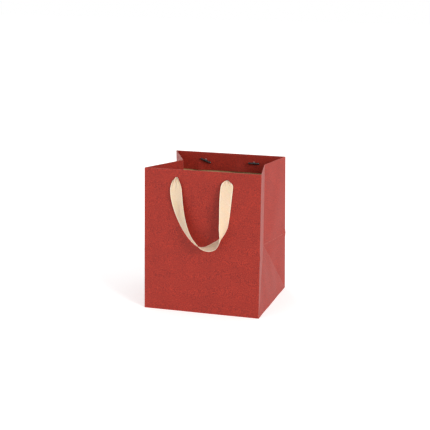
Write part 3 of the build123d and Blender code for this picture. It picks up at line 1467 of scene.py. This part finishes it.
    def section(self, middle: Vector, across: Vector, tangent: Vector, travelled: float) -> list[Vector]:
        """One row of points across the tape.

        Args:
            middle: The middle of the row.
            across: Direction from the loop's inside edge to its outside edge.
            tangent: Direction along the tape.
            travelled: Distance along the tape.

        Returns:
            The points, with the gathered tape's pleats and the open tape's shallow trough.
        """
        width = self.lying_width(travelled, self.length)
        open_share = (width - self.gather_width) / (self.tape_width - self.gather_width)
        tooth = self.selvedge_tooth * math.sin(2 * math.pi * travelled / self.pick)
        face = tangent.cross(across).normalized()
        trough = self.trough * open_share * math.sin(self.trough_rate * travelled + self.trough_start)
        pleat_depth = min(width * self.pleat_share, self.pleat_limit)
        pleat_depth *= (1 - open_share) ** self.pleat_fade
        share = travelled / self.length
        furrow = self.furrow * fade(share - self.furrow_at, self.furrow_reach)
        trough -= self.cup * fade(share - self.cup_at, self.cup_reach)
        row = []
        for cell in range(self.steps_across + 1):
            place = 2 * cell / self.steps_across - 1
            edge = place * width / 2 + (tooth * open_share if abs(place) == 1 else 0) * place
            pleat = math.sin(self.pleats * math.pi * place + self.pleat_start) * pleat_depth
            dip = furrow * fade(place - self.furrow_place, self.furrow_width)
            row.append(middle + across * edge + face * (pleat + trough * (1 - place**2) - dip))
        return row

    def build(self) -> bpy.types.Object:
        """Builds the hung tape.

        Returns:
            The finished ribbon.
        """
        rows, lengths = self.hang()
        tape = flat_grid(self.name, self.steps_across, len(rows) - 1)
        mesh = tape.data
        strip = mesh.uv_layers[0] if mesh.uv_layers else mesh.uv_layers.new()
        strip.name = "tape"
        grid = [
            (round(v.co.x * self.steps_across), round(v.co.y * (len(rows) - 1)))
            for v in mesh.vertices
        ]
        for loop in mesh.loops:
            cell, step = grid[loop.vertex_index]
            strip.data[loop.index].uv = (
                cell / self.steps_across,
                lengths[step] / self.tape_width,
            )
        for vertex, (cell, step) in zip(mesh.vertices, grid):
            vertex.co = rows[step][cell]
        place_in_mesh(tape, self.shape.wall_matrix(self.wall))
        mesh.materials.append(CREAM_TAPE.material())
        apply_modifier(tape, "SOLIDIFY", thickness=self.thickness, offset=0.0)
        shade(tape, self.smooth_angle)
        return tape

    def dress(self, tape: bpy.types.Object) -> None:
        """Args:
            tape: The finished ribbon.
        """
        wall_name = self.wall.name.lower()
        matrix = self.shape.wall_matrix(self.wall)
        rise = self.shape.hole(self.wall, Side.LEFT).y
        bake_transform(tape)
        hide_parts(f"{wall_name}_ribbon")


@dataclass
class Barb:
    """A moulded T-bar with its neck, which holds one gathered end of a ribbon."""

    shape: BagShape
    wall: Wall
    side: Side
    tilt: float
    length: float = 21 * MM
    radius: float = 1.9 * MM
    waist: float = 1.45 * MM
    neck_radius: float = 1.85 * MM
    root_radius: float = 2.4 * MM
    clearance: float = 0.3 * MM
    recess: float = 0.2 * MM
    neck_round: float = 0.25 * MM
    beads: int = 4
    sides: int = 24
    steps: int = 48
    step_ease: float = 0.5
    smooth_angle: float = 45.0

    @property
    def node(self) -> str:
        """The CAD node that the barb stands for, which is its body's name too."""
        return f"{self.wall.name.lower()}_{self.side.name.lower()}_barb"

    @property
    def depth(self) -> float:
        """How far the bar's middle lies inside the wall's outer face."""
        shape = self.shape
        return 2 * shape.paper + shape.board + self.clearance + self.radius

    def profile(self, share: float) -> float:
        """The bar's radius, which makes it a row of beads.

        Args:
            share: The place along the bar, from 0 to 1.

        Returns:
            The radius.
        """
        bead = 0.5 - 0.5 * math.cos(2 * math.pi * self.beads * share)
        body = self.waist + (self.radius - self.waist) * bead
        end = min(share, 1 - share) * self.length / self.radius
        return body * (math.sqrt(1 - (1 - end) ** 2) if end < 1 else 1.0)

    def extrude_to(self, distance: float, scale: float) -> None:
        """Draws the selected end on along X and scales it about the bar's axis.

        Args:
            distance: How far the end moves.
            scale: How much wider it gets.
        """
        bpy.ops.mesh.extrude_region_move(TRANSFORM_OT_translate={"value": (distance, 0, 0)})
        verts = [v.co for v in bmesh.from_edit_mesh(bpy.context.object.data).verts if v.select]
        centre = sum(verts, Vector()) / len(verts)
        bpy.ops.transform.resize(value=(1, scale, scale), center_override=tuple(centre))

    def draw_bar(self) -> bpy.types.Object:
        """Draws out the bar bead by bead.

        Returns:
            The bar, along X with its middle at the origin.
        """
        deselect_all()
        shares = eased(self.steps, self.step_ease)[1:-1]
        bpy.ops.mesh.primitive_circle_add(
            vertices=self.sides,
            radius=self.profile(shares[0]),
            fill_type="NGON",
            location=((shares[0] - 0.5) * self.length, 0, 0),
            rotation=(0, math.radians(90), 0),
        )
        bar = bpy.context.object
        bar.name = f"{self.node}_bar"
        bpy.ops.object.transform_apply(location=True, rotation=True, scale=True)
        bpy.ops.object.mode_set(mode="EDIT")
        bpy.ops.mesh.select_all(action="SELECT")
        for before, after in zip(shares, shares[1:]):
            step = (after - before) * self.length
            self.extrude_to(step, self.profile(after) / self.profile(before))
        bpy.ops.mesh.select_all(action="SELECT")
        bpy.ops.mesh.normals_make_consistent(inside=False)
        bpy.ops.object.mode_set(mode="OBJECT")
        return bar

    def draw_neck(self) -> bpy.types.Object:
        """Makes the tapered neck.

        Returns:
            The neck, standing on the bar's axis.
        """
        deselect_all()
        length = self.depth - self.recess
        bpy.ops.mesh.primitive_cone_add(
            vertices=self.sides,
            radius1=self.root_radius,
            radius2=self.neck_radius,
            depth=length,
            location=(0, 0, length / 2),
        )
        neck = bpy.context.object
        apply_modifier(neck, "BEVEL", width=self.neck_round, segments=3, limit_method="ANGLE")
        bpy.ops.object.transform_apply(location=True, rotation=True, scale=True)
        return neck

    def build(self) -> bpy.types.Object:
        """Joins the bar and its neck and sets them in the hole.

        Returns:
            The finished barb.
        """
        bar = self.draw_bar()
        neck = self.draw_neck()
        make_active(bar)
        neck.select_set(True)
        bpy.ops.object.join()
        at_hole = self.shape.hole(self.wall, self.side) + Vector((0, 0, -self.depth))
        seat = Matrix.Translation(at_hole) @ Matrix.Rotation(math.radians(self.tilt), 4, "Z")
        place_in_mesh(bar, self.shape.wall_matrix(self.wall) @ seat)
        bar.data.materials.append(BLACK_MOULDING.material())
        shade(bar, self.smooth_angle)
        return bar

    def dress(self, bar: bpy.types.Object) -> None:
        """Lets the barb ride on its own swivelling body.

        Args:
            bar: The finished barb.
        """
        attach(bar, self.node)
        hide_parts(self.node)


@dataclass
class HiddenCard:
    """The CAD nodes whose shape stays: boards, and the flaps that close the bottom."""

    boards: tuple[str, ...] = ("bottom_board", "front_hem_board", "back_hem_board")
    flaps: tuple[str, ...] = (
        "bottom_flap_front",
        "bottom_flap_back",
        "bottom_tuck_left",
        "bottom_tuck_right",
    )

    def dress(self) -> None:
        """Gives each node its board or paper finish."""
        for names, finish in ((self.boards, GREY_BOARD), (self.flaps, RED_FACE)):
            for name in names:
                node = frame["nodes"][name]
                node.data.materials.clear()
                node.data.materials.append(finish.material())
                LOG.info("%s: %s", name, finish.name)


class LightKind(Enum):
    """The two kinds of studio light."""

    SOFT_BOX = "AREA"
    EVEN_KEY = "SUN"


@dataclass(frozen=True)
class StudioLight:
    """One light, aimed at the bag.

    Attributes:
        name: The light's name.
        kind: A square soft box, or an even key whose strength doesn't fall off.
        place: Where it stands.
        softness: A soft box's side in metres, or an even key's breadth in degrees.
        power: Watts for a soft box, or strength for an even key.
        colour: The light's colour.
    """

    name: str
    kind: LightKind
    place: tuple[float, float, float]
    softness: float
    power: float
    colour: Colour = (1.0, 1.0, 1.0)

    def build(self, aim: Vector) -> None:
        """Adds the light.

        Args:
            aim: The point that it is turned towards.
        """
        data = bpy.data.lights.new(self.name, self.kind.value)
        if self.kind is LightKind.SOFT_BOX:
            data.size = self.softness
        else:
            data.angle = math.radians(self.softness)
        data.energy = self.power
        data.color = self.colour
        light = bpy.data.objects.new(self.name, data)
        bpy.context.scene.collection.objects.link(light)
        light.location = self.place
        light.rotation_mode = "QUATERNION"
        light.rotation_quaternion = (aim - light.location).to_track_quat("-Z", "Y")


@dataclass
class Studio:
    """The floor, the lights and the camera."""

    azimuth: float = 17.25
    elevation: float = 13.95
    distance: float = 1.963
    lens: float = 96.0
    sensor: float = 36.0
    camera_aim: tuple[float, float, float] = (-0.003, 0.0, 0.147)
    floor_size: float = 12.0
    floor_colour: Colour = (0.96, 0.96, 0.96)
    floor_glow: float = 0.34
    floor_roughness: float = 0.9
    ambient: float = 0.64
    aim: Vector = field(default_factory=lambda: Vector((0, 0, 0.12)))
    lights: tuple[StudioLight, ...] = (
        StudioLight(
            "key_light", LightKind.EVEN_KEY, (2.2, -1.4, 1.15), 24.0, 2.0, (1.0, 0.985, 0.96)
        ),
        StudioLight("front_light", LightKind.SOFT_BOX, (-1.1, -2.2, 1.0), 1.4, 5.5),
        StudioLight("back_light", LightKind.SOFT_BOX, (-1.5, 1.9, 1.3), 1.4, 10.0),
    )

    def build(self) -> None:
        """Builds the whole studio."""
        self.build_floor()
        for light in self.lights:
            light.build(self.aim)
        self.build_backdrop()
        self.build_camera()
        bpy.context.scene.view_settings.view_transform = "Standard"

    def build_floor(self) -> None:
        """Lays a plain white floor with a faint glow of its own."""
        deselect_all()
        bpy.ops.mesh.primitive_plane_add(size=self.floor_size, location=(0, 0, 0))
        floor = bpy.context.object
        floor.name = "studio_floor"
        material = bpy.data.materials.new("studio_white")
        material.use_nodes = True
        surface = material.node_tree.nodes["Principled BSDF"]
        surface.inputs["Base Color"].default_value = (*self.floor_colour, 1)
        surface.inputs["Roughness"].default_value = self.floor_roughness
        surface.inputs["Emission Color"].default_value = (1.0, 1.0, 1.0, 1)
        surface.inputs["Emission Strength"].default_value = self.floor_glow
        floor.data.materials.append(material)

    def build_backdrop(self) -> None:
        """Makes the world a white backdrop to the camera and a dimmer light to the bag."""
        world = bpy.data.worlds.new("studio_world")
        world.use_nodes = True
        background = world.node_tree.nodes["Background"]
        background.inputs["Color"].default_value = (1.0, 1.0, 1.0, 1)
        shader = Shader(world.node_tree)
        seen = shader.node("ShaderNodeLightPath").outputs["Is Camera Ray"]
        glow = shader.times(seen, 1.0 - self.ambient)
        shader.feed(background.inputs["Strength"], shader.plus(glow, self.ambient))
        bpy.context.scene.world = world

    def build_camera(self) -> None:
        """Sets up the camera, which looks at its aim from its azimuth and elevation."""
        data = bpy.data.cameras.new("camera")
        data.lens = self.lens
        data.sensor_width = self.sensor
        camera = bpy.data.objects.new("camera", data)
        bpy.context.scene.collection.objects.link(camera)
        azimuth, elevation = math.radians(self.azimuth), math.radians(self.elevation)
        level = math.cos(elevation)
        view = Vector((-math.sin(azimuth) * level, math.cos(azimuth) * level, -math.sin(elevation)))
        camera.location = Vector(self.camera_aim) - view * self.distance
        camera.rotation_mode = "QUATERNION"
        camera.rotation_quaternion = view.to_track_quat("-Z", "Y")
        bpy.context.scene.camera = camera


BARB_TILTS = {
    (Wall.FRONT, Side.LEFT): 8.0,
    (Wall.FRONT, Side.RIGHT): -12.0,
    (Wall.BACK, Side.LEFT): 21.0,
    (Wall.BACK, Side.RIGHT): 0.0,
}


def main() -> None:
    """Builds every piece in the order that the bag is made up, and logs each one."""
    logging.basicConfig(level=logging.INFO, format="%(name)s: %(message)s")
    shape = BagShape.from_frame()
    Studio().build()
    sheet_maker = PaperSheet(shape)
    sheet = sheet_maker.build()
    sheet_maker.dress(sheet)
    LOG.info("%s: %d faces", sheet.name, len(sheet.data.polygons))
    HiddenCard().dress()
    for (wall, side), tilt in BARB_TILTS.items():
        barb = Barb(shape, wall, side, tilt)
        bar = barb.build()
        barb.dress(bar)
        LOG.info("%s: %d faces", bar.name, len(bar.data.polygons))
    for wall in Wall:
        handle = RibbonHandle(shape, wall)
        tape = handle.build()
        handle.dress(tape)
        LOG.info("%s: %.0f mm long", tape.name, handle.length / MM)


if __name__ == "__main__":
    main()
